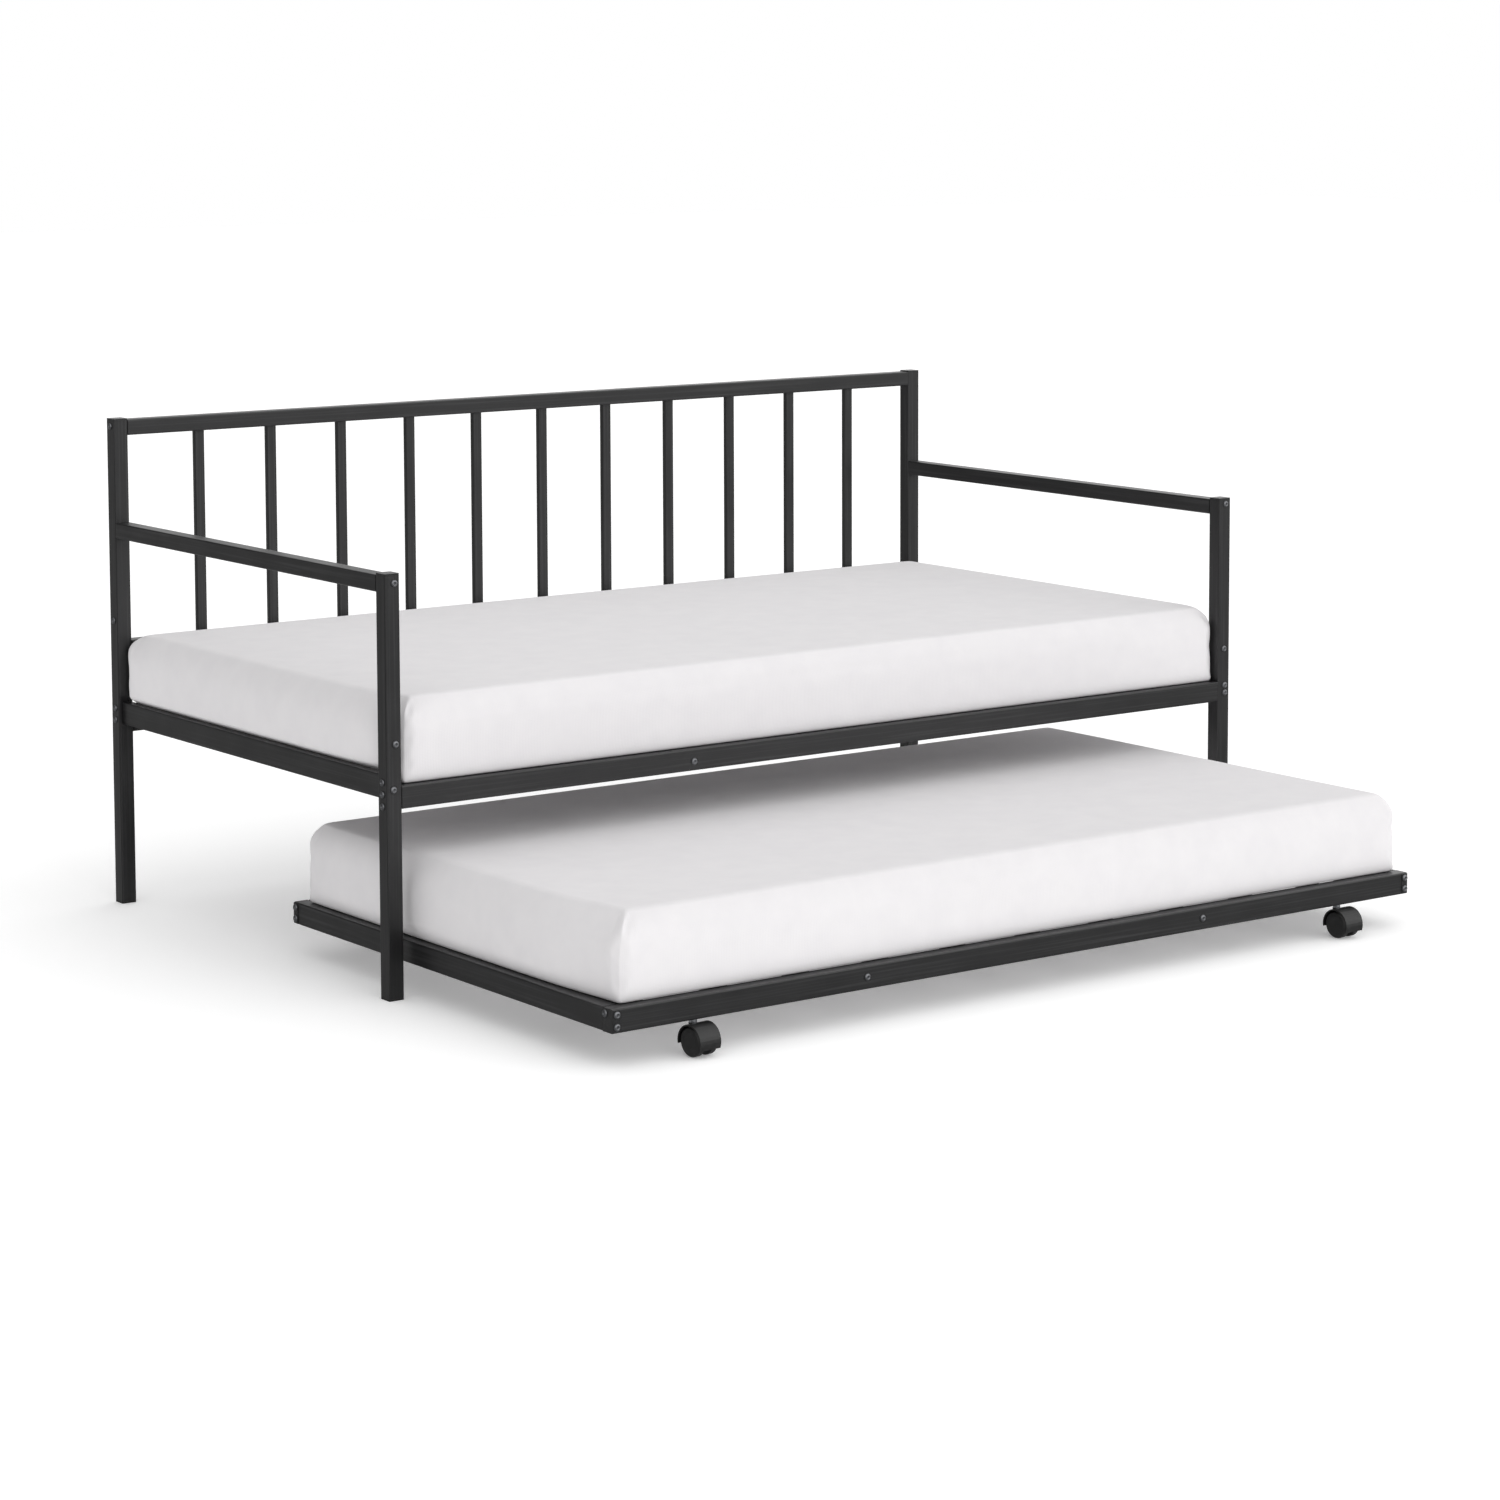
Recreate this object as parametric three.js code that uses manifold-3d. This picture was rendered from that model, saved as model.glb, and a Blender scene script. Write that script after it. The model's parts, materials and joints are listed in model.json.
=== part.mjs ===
// Metal daybed with a roll-out trundle, twin size.
// Millimetres, +Z up, +X along the bed, +Y towards the back. The origin is on the floor,
// in the middle of the footprint with the trundle part-way out, as it is drawn here.
import * as THREE from 'three';
import { mergeVertices } from 'three/addons/utils/BufferGeometryUtils.js';
import Module from 'manifold-3d';

// Daybed frame
const bedLength = 1965;
const bedDepth = 1030;
const rearPostHeight = 940;
const frontPostHeight = 744;
const postSize = 30;
const wall = 1.5;
const cornerRadius = 2.5;
const capThickness = 2.5;
const capStub = 12;
const glideThickness = 3;
const glideStub = 14;
const railSize = 30;
const longRailHeight = 40;
const longRailTop = 374;
const sideRailHeight = 43;
const sideRailTop = 393;
const sideRailDepth = 20;
const sideRailInset = 8;
const armRailTop = 740.5;
const lowerBackRailTop = 512;
const spindleCount = 11;
const spindleWidth = 21;
const spindleDepth = 12;

// Trundle
const trundleLength = 1796;
const trundleDepth = 1030;
const trundleOffset = -39;
const trundleRailBottom = 60;
const endPlateThickness = 2;
const pulledOut = 620;

// Decks and mattresses
const slatCount = 11;
const slatWidth = 50;
const slatThickness = 3;
const stringerHeight = 15;
const stringerWidth = 20;
const deckSink = 0.5;
const mattressThickness = 150;
const mattressCorner = 35;
const mattressEdge = 12;
const bedMattressSetback = 12;
const bedMattressLift = 2;
const bedMattress = { length: 1902, depth: 986 };
const trundleMattress = { length: 1766, depth: 990 };

// Casters
const casterInset = 168;
const wheelRadius = 25;
const wheelWidth = 14.5;
const wheelBoreDepth = 11;
const webThickness = 14;
const wheelClearance = 0.6;
const casterTrail = 16;
const hoodInner = 27;
const hoodOuter = 29.4;
const hoodBackAngle = -0.2;
const hoodFrontAngle = Math.PI + 0.38;
const webOuter = 28;
const webInner = 17.5;
const axleRadius = 3;
const axleFit = 0.4;
const stemRadius = 5;
const stemBottom = 35;
const stemReach = 30;
const collarRadius = 6.8;
const bossBottom = 30;
const bossTop = 52.5;
const bossRadius = 7.2;
const runningClearance = 0.15;

const gap = 0.3;
const weld = 0.1;
const bedCentreY = pulledOut / 2;
const trundleCentreY = -pulledOut / 2;

const wasm = await Module();
wasm.setup();

const group = new THREE.Group();

const powderCoat = { color: 0x2b2b2b, roughness: 0.55, metalness: 0.3 };
const blackPlastic = { color: 0x161616, roughness: 0.45, metalness: 0 };
const brightSteel = { color: 0xb9bbbd, roughness: 0.3, metalness: 1 };
const knitCover = { color: 0xe9e8e8, roughness: 0.95, metalness: 0 };

function addMesh(parent, name, geometry, look, position = [0, 0, 0]) {
  const mesh = new THREE.Mesh(geometry, new THREE.MeshStandardMaterial(look));
  mesh.name = name;
  mesh.position.set(...position);
  parent.add(mesh);
  return mesh;
}

// ---- solids -------------------------------------------------------------------------------

function toManifold(geometry) {
  const bare = geometry.clone();
  bare.deleteAttribute('normal');
  bare.deleteAttribute('uv');
  const merged = mergeVertices(bare, 1e-4);
  const mesh = new wasm.Mesh({
    numProp: 3,
    vertProperties: Float32Array.from(merged.attributes.position.array),
    triVerts: Uint32Array.from(merged.index.array),
  });
  return new wasm.Manifold(mesh);
}

function toGeometry(solid) {
  const mesh = solid.getMesh();
  const geometry = new THREE.BufferGeometry();
  geometry.setAttribute('position', new THREE.BufferAttribute(Float32Array.from(mesh.vertProperties), 3));
  geometry.setIndex(Array.from(mesh.triVerts));
  return geometry;
}

function join(...geometries) {
  const solids = geometries.map(toManifold);
  return toGeometry(solids.reduce((whole, piece) => whole.add(piece)));
}

function cut(geometry, ...tools) {
  const solid = tools.map(toManifold).reduce((whole, tool) => whole.subtract(tool), toManifold(geometry));
  return toGeometry(solid);
}

function roundedRectangle(width, height, radius) {
  const [x, y] = [width / 2 - radius, height / 2 - radius];
  const shape = new THREE.Shape();
  shape.absarc(x, y, radius, 0, Math.PI / 2);
  shape.absarc(-x, y, radius, Math.PI / 2, Math.PI);
  shape.absarc(-x, -y, radius, Math.PI, 1.5 * Math.PI);
  shape.absarc(x, -y, radius, 1.5 * Math.PI, 2 * Math.PI);
  shape.closePath();
  return shape;
}

// Turns a solid that was extruded along +Z so that it runs along the given axis.
function along(axis, geometry) {
  if (axis === 'x') geometry.rotateY(Math.PI / 2);
  if (axis === 'y') geometry.rotateX(-Math.PI / 2);
  return geometry;
}

// Open-ended rectangular tube, centred on the origin. For a tube along x or y, tall is its height.
function tube(axis, length, wide, tall) {
  const [across, up] = axis === 'x' ? [tall, wide] : [wide, tall];
  const shape = roundedRectangle(across, up, cornerRadius);
  const [x, y] = [across / 2 - wall, up / 2 - wall];
  const hole = [[-x, -y], [-x, y], [x, y], [x, -y]].map(([u, v]) => new THREE.Vector2(u, v));
  shape.holes.push(new THREE.Path(hole));
  const geometry = new THREE.ExtrudeGeometry(shape, { depth: length, bevelEnabled: false, curveSegments: 2 });
  return along(axis, geometry.translate(0, 0, -length / 2));
}

// The same tube with a welded plate over its low end (-1), its high end (1) or both.
function closedTube(axis, length, wide, tall, closedEnds) {
  const [across, up] = axis === 'x' ? [tall, wide] : [wide, tall];
  const plates = closedEnds.map((side) => {
    const plate = new THREE.ExtrudeGeometry(roundedRectangle(across, up, cornerRadius), {
      depth: endPlateThickness, bevelEnabled: false, curveSegments: 2,
    });
    return along(axis, plate.translate(0, 0, side > 0 ? length / 2 - endPlateThickness : -length / 2));
  });
  return join(tube(axis, length, wide, tall), ...plates);
}

function block(sizeX, sizeY, sizeZ, x = 0, y = 0, z = 0) {
  return new THREE.BoxGeometry(sizeX, sizeY, sizeZ).translate(x, y, z);
}

// Cylinder with its axis along +Z, from z = bottom up to z = top.
function post(radius, bottom, top, segments = 24) {
  const geometry = new THREE.CylinderGeometry(radius, radius, top - bottom, segments);
  return geometry.rotateX(Math.PI / 2).translate(0, 0, (top + bottom) / 2);
}

// ---- daybed frame -------------------------------------------------------------------------

const ends = [['left', -1], ['right', 1]];
const postX = (bedLength - postSize) / 2;
const postY = (bedDepth - postSize) / 2;
const plugSize = postSize - 2 * wall - 2 * gap;

// Square plug cap: a plate as wide as the tube and a stub that sits inside it.
function plugCap(thickness, stubLength) {
  const plate = new THREE.ExtrudeGeometry(roundedRectangle(postSize, postSize, cornerRadius), {
    depth: thickness, bevelEnabled: false, curveSegments: 2,
  });
  return join(plate, block(plugSize, plugSize, stubLength, 0, 0, weld - stubLength / 2));
}

function addPosts(parent) {
  for (const [row, sideY, height] of [['rear', 1, rearPostHeight], ['front', -1, frontPostHeight]]) {
    for (const [end, sideX] of ends) {
      const [x, y] = [sideX * postX, sideY * postY];
      const [bottom, top] = [glideThickness + gap, height - capThickness - gap];
      const upright = tube('z', top - bottom, postSize, postSize);
      const cap = plugCap(capThickness, capStub);
      const glide = plugCap(glideThickness, glideStub).rotateX(Math.PI);
      addMesh(parent, `post_${row}_${end}`, upright, powderCoat, [x, y, (bottom + top) / 2]);
      addMesh(parent, `post_cap_${row}_${end}`, cap, powderCoat, [x, y, height - capThickness]);
      addMesh(parent, `glide_${row}_${end}`, glide, blackPlastic, [x, y, glideThickness]);
    }
  }
}

function addBack(parent) {
  const railLength = bedLength - 2 * postSize - 2 * gap;
  const topRail = rearPostHeight - capThickness;
  const backRails = [
    ['back_top_rail', topRail, railSize],
    ['back_lower_rail', lowerBackRailTop, railSize],
    ['rear_seat_rail', longRailTop, longRailHeight],
  ];
  for (const [name, top, tall] of backRails) {
    addMesh(parent, name, tube('x', railLength, railSize, tall), powderCoat, [0, postY, top - tall / 2]);
  }

  const spindleTop = topRail - railSize - gap;
  const spindleBottom = lowerBackRailTop + gap;
  const pitch = (bedLength - 2 * postSize) / (spindleCount + 1);
  for (let i = 0; i < spindleCount; i++) {
    const x = (i - (spindleCount - 1) / 2) * pitch;
    const name = `spindle_${String(i + 1).padStart(2, '0')}`;
    const spindle = tube('z', spindleTop - spindleBottom, spindleWidth, spindleDepth);
    addMesh(parent, name, spindle, powderCoat, [x, postY, (spindleTop + spindleBottom) / 2]);
  }
}

function addSeatAndArms(parent) {
  const longLength = bedLength - 2 * postSize - 2 * gap;
  const crossLength = bedDepth - 2 * postSize - 2 * gap;
  addMesh(parent, 'front_seat_rail', tube('x', longLength, railSize, longRailHeight), powderCoat,
    [0, -postY, longRailTop - longRailHeight / 2]);
  for (const [end, sideX] of ends) {
    const sideRailX = sideX * (bedLength / 2 - sideRailInset - sideRailDepth / 2);
    const arm = tube('y', crossLength, railSize, railSize);
    const sideRail = tube('y', crossLength, sideRailDepth, sideRailHeight);
    addMesh(parent, `arm_rail_${end}`, arm, powderCoat, [sideX * postX, 0, armRailTop - railSize / 2]);
    addMesh(parent, `side_seat_rail_${end}`, sideRail, powderCoat,
      [sideRailX, 0, sideRailTop - sideRailHeight / 2]);
  }
}

// ---- decks and mattresses -------------------------------------------------------------------

// Welded slat deck with its top at z = 0: cross slats on two stringers that run along X.
function slatDeck(length, depth) {
  const pieces = [-1, 1].map((side) => block(
    length, stringerWidth, stringerHeight, 0, side * depth / 4, weld - slatThickness - stringerHeight / 2,
  ));
  const pitch = (length - slatWidth) / (slatCount - 1);
  for (let i = 0; i < slatCount; i++) {
    const x = (i - (slatCount - 1) / 2) * pitch;
    pieces.push(block(slatWidth, depth, slatThickness, x, 0, -slatThickness / 2));
  }
  return join(...pieces);
}

// Mattress with its underside at z = 0 and softened edges.
function mattress({ length, depth }) {
  const [flatLength, flatDepth] = [length - 2 * mattressEdge, depth - 2 * mattressEdge];
  const outline = roundedRectangle(flatLength, flatDepth, mattressCorner - mattressEdge);
  return new THREE.ExtrudeGeometry(outline, {
    depth: mattressThickness - 2 * mattressEdge, bevelThickness: mattressEdge, bevelSize: mattressEdge,
    bevelSegments: 2, curveSegments: 3,
  }).translate(0, 0, mattressEdge);
}

// ---- trundle --------------------------------------------------------------------------------

const trundleRailCentre = trundleRailBottom + longRailHeight / 2;
const trundleRailTop = trundleRailBottom + longRailHeight;
const trundleRailY = (trundleDepth - railSize) / 2;
const casterX = trundleLength / 2 - casterInset;

// Cuts a stem socket through a long rail's lower wall above each caster.
function casterRail(rail) {
  const sockets = [-casterX, casterX].map((x) => post(
    stemRadius + gap, -longRailHeight / 2 - 1, -longRailHeight / 2 + wall + 1,
  ).translate(x, 0, 0));
  return cut(rail, ...sockets);
}

function addTrundleFrame(parent) {
  const rearLength = trundleLength - 2 * railSize - 2 * gap;
  const frontRail = casterRail(closedTube('x', trundleLength, railSize, longRailHeight, [-1, 1]));
  const rearRail = casterRail(tube('x', rearLength, railSize, longRailHeight));
  addMesh(parent, 'trundle_front_rail', frontRail, powderCoat, [0, -trundleRailY, trundleRailCentre]);
  addMesh(parent, 'trundle_rear_rail', rearRail, powderCoat, [0, trundleRailY, trundleRailCentre]);
  for (const [end, sideX] of ends) {
    const endRail = closedTube('y', trundleDepth - railSize - gap, railSize, longRailHeight, [1]);
    const place = [sideX * (trundleLength - railSize) / 2, (railSize + gap) / 2, trundleRailCentre];
    addMesh(parent, `trundle_end_rail_${end}`, endRail, powderCoat, place);
  }
}

// Caster parts are drawn about the swivel axis, with the wheels trailing along -Y.
function casterHood() {
  const width = 2 * wheelWidth + webThickness + 2 * wheelClearance;
  const shell = new THREE.Shape();
  shell.absarc(0, 0, hoodOuter, hoodBackAngle, hoodFrontAngle);
  shell.absarc(0, 0, hoodInner, hoodFrontAngle, hoodBackAngle, true);
  const web = new THREE.Shape();
  web.absarc(0, 0, webOuter, 0, Math.PI);
  web.absarc(0, 0, webInner, Math.PI, 2 * Math.PI);
  const slice = (shape, thickness) => new THREE.ExtrudeGeometry(shape, {
    depth: thickness, bevelEnabled: false, curveSegments: 10,
  }).translate(0, 0, -thickness / 2).rotateY(Math.PI / 2).rotateX(Math.PI / 2);
  const wheelSide = join(slice(shell, width), slice(web, webThickness));
  wheelSide.translate(0, -casterTrail, wheelRadius);
  const solid = join(wheelSide, post(bossRadius, bossBottom, bossTop));
  const axleHole = post(axleRadius + axleFit, -webThickness, webThickness, 16).rotateY(Math.PI / 2);
  axleHole.translate(0, -casterTrail, wheelRadius);
  return cut(solid, axleHole, post(stemRadius + runningClearance, stemBottom - 1, bossTop + 1));
}

// Steel stem: a pin in the hood, a collar under the rail and a pin up into the rail's socket.
function casterStem() {
  const collarBottom = bossTop + 2 * gap;
  const collarTop = trundleRailBottom - gap;
  const stemTop = trundleRailBottom + stemReach;
  const profile = [
    [0, stemBottom], [stemRadius, stemBottom], [stemRadius, collarBottom], [collarRadius, collarBottom],
    [collarRadius, collarTop], [stemRadius, collarTop], [stemRadius, stemTop], [0, stemTop],
  ].map(([r, z]) => new THREE.Vector2(r, z));
  return new THREE.LatheGeometry(profile, 16).rotateX(Math.PI / 2);
}

// Solid of revolution about X: profile points are (radius, distance along X).
function turned(profile, segments) {
  const points = profile.map(([radius, x]) => new THREE.Vector2(radius, x));
  return new THREE.LatheGeometry(points, segments).rotateZ(-Math.PI / 2);
}

// Wheel about X with its inner face at x = 0, a blind bore, and its domed outer face towards +X.
function casterWheel() {
  const bore = axleRadius + runningClearance;
  const profile = [
    [0, wheelBoreDepth], [bore, wheelBoreDepth], [bore, 0], [wheelRadius - 1, 0], [wheelRadius, 1],
    [wheelRadius, wheelWidth - 5], [wheelRadius - 0.8, wheelWidth - 3], [wheelRadius - 2.8, wheelWidth - 1.3],
    [wheelRadius - 9, wheelWidth - 0.3], [0, wheelWidth],
  ];
  return turned(profile, 28);
}

const casterPlaces = [
  ['front_left', -1, -1, 5], ['front_right', 1, -1, 3], ['rear_left', -1, 1, 9], ['rear_right', 1, 1, -6],
];

function addCaster(parent, name, sideX, sideY, restAngle) {
  const caster = new THREE.Group();
  caster.position.set(sideX * casterX, sideY * trundleRailY, 0);
  caster.rotation.z = THREE.MathUtils.degToRad(restAngle);
  parent.add(caster);
  addMesh(caster, `caster_${name}_stem`, casterStem(), brightSteel);
  addMesh(caster, `caster_${name}_hood`, casterHood(), blackPlastic);
  const wheelInner = webThickness / 2 + wheelClearance;
  const axleHalf = wheelInner + wheelBoreDepth - gap;
  const axle = turned([[0, -axleHalf], [axleRadius, -axleHalf], [axleRadius, axleHalf], [0, axleHalf]], 16);
  addMesh(caster, `caster_${name}_axle`, axle, brightSteel, [0, -casterTrail, wheelRadius]);
  for (const [end, side] of ends) {
    const wheel = casterWheel();
    if (side < 0) wheel.rotateZ(Math.PI);
    const place = [side * wheelInner, -casterTrail, wheelRadius];
    addMesh(caster, `caster_${name}_wheel_${end}`, wheel, blackPlastic, place);
  }
}

// ---- assembly -------------------------------------------------------------------------------

const daybed = new THREE.Group();
daybed.position.set(0, bedCentreY, 0);
group.add(daybed);
addPosts(daybed);
addBack(daybed);
addSeatAndArms(daybed);
const deckTop = longRailTop - deckSink;
const deckDepth = bedDepth - 2 * postSize - 2 * gap;
const deckLength = bedLength - 2 * (sideRailInset + sideRailDepth) - 2 * gap;
const bedMattressY = -bedDepth / 2 + bedMattressSetback + bedMattress.depth / 2;
addMesh(daybed, 'daybed_deck', slatDeck(deckLength, deckDepth), powderCoat, [0, 0, deckTop]);
addMesh(daybed, 'daybed_mattress', mattress(bedMattress), knitCover,
  [0, bedMattressY, longRailTop + bedMattressLift]);

const trundle = new THREE.Group();
trundle.position.set(trundleOffset, trundleCentreY, 0);
group.add(trundle);
addTrundleFrame(trundle);
const trundleDeckLength = trundleLength - 2 * railSize - 2 * gap;
const trundleDeckDepth = trundleDepth - 2 * railSize - 2 * gap;
addMesh(trundle, 'trundle_deck', slatDeck(trundleDeckLength, trundleDeckDepth), powderCoat,
  [0, 0, trundleRailTop - deckSink]);
addMesh(trundle, 'trundle_mattress', mattress(trundleMattress), knitCover, [0, 0, trundleRailTop + gap]);
for (const place of casterPlaces) addCaster(trundle, ...place);

// The front casters' hoods reach a little past the trundle's rail, so the middle of the whole
// footprint is measured, and the assembly is moved to stand on it.
const footprint = new THREE.Box3().setFromObject(group, true).getCenter(new THREE.Vector3());
group.position.set(0, -footprint.y, 0);

export default group;
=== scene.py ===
# Metal daybed with a roll-out trundle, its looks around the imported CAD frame. Blender 4.5, metres.
import json
import math

import bpy
import bmesh
import numpy as np
from mathutils import Matrix, Vector


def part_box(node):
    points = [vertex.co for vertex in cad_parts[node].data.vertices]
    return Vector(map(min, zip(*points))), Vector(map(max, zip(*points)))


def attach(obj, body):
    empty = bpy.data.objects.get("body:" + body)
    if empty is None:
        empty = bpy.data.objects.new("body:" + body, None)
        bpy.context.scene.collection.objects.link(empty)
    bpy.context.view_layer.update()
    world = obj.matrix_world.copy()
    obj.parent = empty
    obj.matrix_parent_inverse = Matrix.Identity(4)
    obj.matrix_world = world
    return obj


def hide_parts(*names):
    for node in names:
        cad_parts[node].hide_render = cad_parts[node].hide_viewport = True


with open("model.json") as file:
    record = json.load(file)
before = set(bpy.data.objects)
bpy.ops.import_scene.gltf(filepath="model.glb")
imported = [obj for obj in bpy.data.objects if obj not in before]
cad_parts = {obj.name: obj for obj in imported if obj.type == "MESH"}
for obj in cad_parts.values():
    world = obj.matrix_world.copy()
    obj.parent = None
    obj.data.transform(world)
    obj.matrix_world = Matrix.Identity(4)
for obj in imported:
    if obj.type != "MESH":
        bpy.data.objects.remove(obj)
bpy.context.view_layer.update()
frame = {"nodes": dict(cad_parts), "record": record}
scene = bpy.context.scene
print("frame loaded:", len(frame["nodes"]), "CAD nodes")


def srgb(code):  # "#rrggbb" to linear RGBA
    parts = [int(code[i:i + 2], 16) / 255 for i in (1, 3, 5)]
    return [p / 12.92 if p <= 0.04045 else ((p + 0.055) / 1.055) ** 2.4 for p in parts] + [1.0]


def addNode(tree, kind, inputs=None, **settings):  # one node; an input takes a value or another node's socket
    node = tree.nodes.new(kind)
    for name, value in settings.items():
        setattr(node, name, value)
    for key, value in (inputs or {}).items():
        if isinstance(value, bpy.types.NodeSocket):
            tree.links.new(value, node.inputs[key])
        else:
            node.inputs[key].default_value = value
    return node


# Camera: stands to the front left, a little above the arms, with a long lens
cameraSettings = {
    "place": (-4.3827, -6.2366, 1.5990),  # from the floor under the daybed's middle
    "turn": 36.113,     # degrees from +Y towards +X
    "tilt": 5.548,      # degrees down
    "roll": -0.186,
    "lens": 93.84, "sensor": 36,  # mm
    "shiftY": -0.2,     # keeps the posts upright with the bed in the middle of the picture
    "farthest": 200,    # metres; nothing beyond is drawn
}


def addCamera(s):
    turn, tilt, roll = (math.radians(s[k]) for k in ("turn", "tilt", "roll"))
    ahead = Vector((math.sin(turn) * math.cos(tilt), math.cos(turn) * math.cos(tilt), -math.sin(tilt)))
    right = Vector((math.cos(turn), -math.sin(turn), 0))
    up = right.cross(ahead)
    right, up = right * math.cos(roll) + up * math.sin(roll), up * math.cos(roll) - right * math.sin(roll)
    data = bpy.data.cameras.new("camera")
    data.lens, data.sensor_width, data.shift_y = s["lens"], s["sensor"], s["shiftY"]
    data.clip_end = s["farthest"]
    camera = bpy.data.objects.new("camera", data)
    scene.collection.objects.link(camera)
    bedMiddle = (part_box("front_seat_rail")[0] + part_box("rear_seat_rail")[1]) / 2
    place = Vector((bedMiddle.x, bedMiddle.y, 0)) + Vector(s["place"])
    camera.matrix_world = Matrix.Translation(place) @ Matrix((right, up, -ahead)).transposed().to_4x4()
    scene.camera = camera


addCamera(cameraSettings)


# Materials

powderCoatSettings = {
    "colour": "#101011", "dusty": "#1B1B1C", "roughness": 0.36, "specular": 0.56,
    "grit": 2.5,        # mm, size of the finest specks
    "peel": 6.0,        # mm; real orange peel is about 1.5 mm, drawn coarser so that it shows
    "peelDepth": 0.05,  # mm
    "line": 3.5,        # mm between the faint lengthwise lines of the drawn tube
    "lineColour": "#29292A", "lineSqueeze": 0.012, "lineShown": (0.5, 0.72),
    "cloud": 90.0,      # mm, size of the handled and dusty patches
}


def makePowderCoat(s, axis):
    # Polyester powder coat, sprayed dry and baked: satin black, faintly dimpled, so edges catch a soft
    # light line, and the drawn tube's lines show through it along the tube's length
    material = bpy.data.materials.new("satinBlackPowderCoat" + "XYZ"[axis])
    material.use_nodes = True
    tree = material.node_tree
    shader = tree.nodes["Principled BSDF"]
    place = addNode(tree, "ShaderNodeTexCoord").outputs["Object"]
    cloud = addNode(tree, "ShaderNodeTexNoise", {"Vector": place, "Scale": 1000 / s["cloud"], "Detail": 4.0})
    grit = addNode(tree, "ShaderNodeTexNoise", {"Vector": place, "Scale": 1000 / s["grit"], "Detail": 2.0})
    blend = addNode(tree, "ShaderNodeMath", {0: cloud.outputs["Fac"], 1: grit.outputs["Fac"]},
                    operation="MULTIPLY")
    tint = addNode(tree, "ShaderNodeMix", {"Factor": blend.outputs[0], "A": srgb(s["colour"]),
                                           "B": srgb(s["dusty"])}, data_type="RGBA")
    shares = [s["lineSqueeze"] if i == axis else 1.0 for i in range(3)]
    squeeze = addNode(tree, "ShaderNodeVectorMath", {0: place, 1: shares}, operation="MULTIPLY")
    lines = addNode(tree, "ShaderNodeTexNoise", {"Vector": squeeze.outputs["Vector"],
                                                 "Scale": 1000 / s["line"], "Detail": 2.0})
    shown = addNode(tree, "ShaderNodeMapRange", {"Value": lines.outputs["Fac"], "From Min": s["lineShown"][0],
                                                 "From Max": s["lineShown"][1]})
    lined = addNode(tree, "ShaderNodeMix", {"Factor": shown.outputs["Result"], "A": tint.outputs["Result"],
                                            "B": srgb(s["lineColour"])}, data_type="RGBA")
    rough = addNode(tree, "ShaderNodeMapRange", {
        "Value": cloud.outputs["Fac"], "From Min": 0.3, "From Max": 0.7,
        "To Min": s["roughness"] - 0.04, "To Max": s["roughness"] + 0.06})
    peel = addNode(tree, "ShaderNodeTexNoise", {"Vector": place, "Scale": 1000 / s["peel"], "Detail": 1.0})
    bump = addNode(tree, "ShaderNodeBump", {"Height": peel.outputs["Fac"], "Strength": 0.5,
                                            "Distance": s["peelDepth"] / 1000})
    tree.links.new(lined.outputs["Result"], shader.inputs["Base Color"])
    tree.links.new(rough.outputs["Result"], shader.inputs["Roughness"])
    tree.links.new(bump.outputs["Normal"], shader.inputs["Normal"])
    shader.inputs["Specular IOR Level"].default_value = s["specular"]
    return material


nylonSettings = {
    "colour": "#161616", "rubbed": "#242424", "roughness": 0.38,
    "grain": 3.0,       # mm; the mould's spark texture is under 1 mm, drawn coarser so that it shows
    "grainDepth": 0.04,  # mm
    "scuff": 14.0,      # mm, size of the rubbed patches
}


def makeNylon(s):
    # Injection-moulded black nylon: a little glossier than the coat, greyer where it rubs
    material = bpy.data.materials.new("mouldedBlackNylon")
    material.use_nodes = True
    tree = material.node_tree
    shader = tree.nodes["Principled BSDF"]
    place = addNode(tree, "ShaderNodeTexCoord").outputs["Object"]
    grain = addNode(tree, "ShaderNodeTexNoise", {"Vector": place, "Scale": 1000 / s["grain"], "Detail": 2.0})
    scuff = addNode(tree, "ShaderNodeTexNoise", {"Vector": place, "Scale": 1000 / s["scuff"], "Detail": 5.0})
    worn = addNode(tree, "ShaderNodeMapRange", {"Value": scuff.outputs["Fac"], "From Min": 0.5,
                                                "From Max": 0.75})
    tint = addNode(tree, "ShaderNodeMix", {"Factor": worn.outputs["Result"], "A": srgb(s["colour"]),
                                           "B": srgb(s["rubbed"])}, data_type="RGBA")
    rough = addNode(tree, "ShaderNodeMapRange", {
        "Value": scuff.outputs["Fac"], "To Min": s["roughness"] - 0.06, "To Max": s["roughness"] + 0.12})
    bump = addNode(tree, "ShaderNodeBump", {"Height": grain.outputs["Fac"], "Strength": 0.5,
                                            "Distance": s["grainDepth"] / 1000})
    tree.links.new(tint.outputs["Result"], shader.inputs["Base Color"])
    tree.links.new(rough.outputs["Result"], shader.inputs["Roughness"])
    tree.links.new(bump.outputs["Normal"], shader.inputs["Normal"])
    return material


steelSettings = {
    "zinc": {"name": "zincPlatedSteel", "colour": "#C9CBCE", "dull": "#9EA1A5", "roughness": 0.28},
    "bolt": {"name": "blackNickelledSteel", "colour": "#8E8F92", "dull": "#636467", "roughness": 0.30},
}
steelPattern = {
    "cloud": 5.0,       # mm, size of the dull patches
    "mark": 1.2,        # mm; real turning marks are about 0.1 mm, drawn coarser so that they show
    "markDepth": 0.02,  # mm
}


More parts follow.
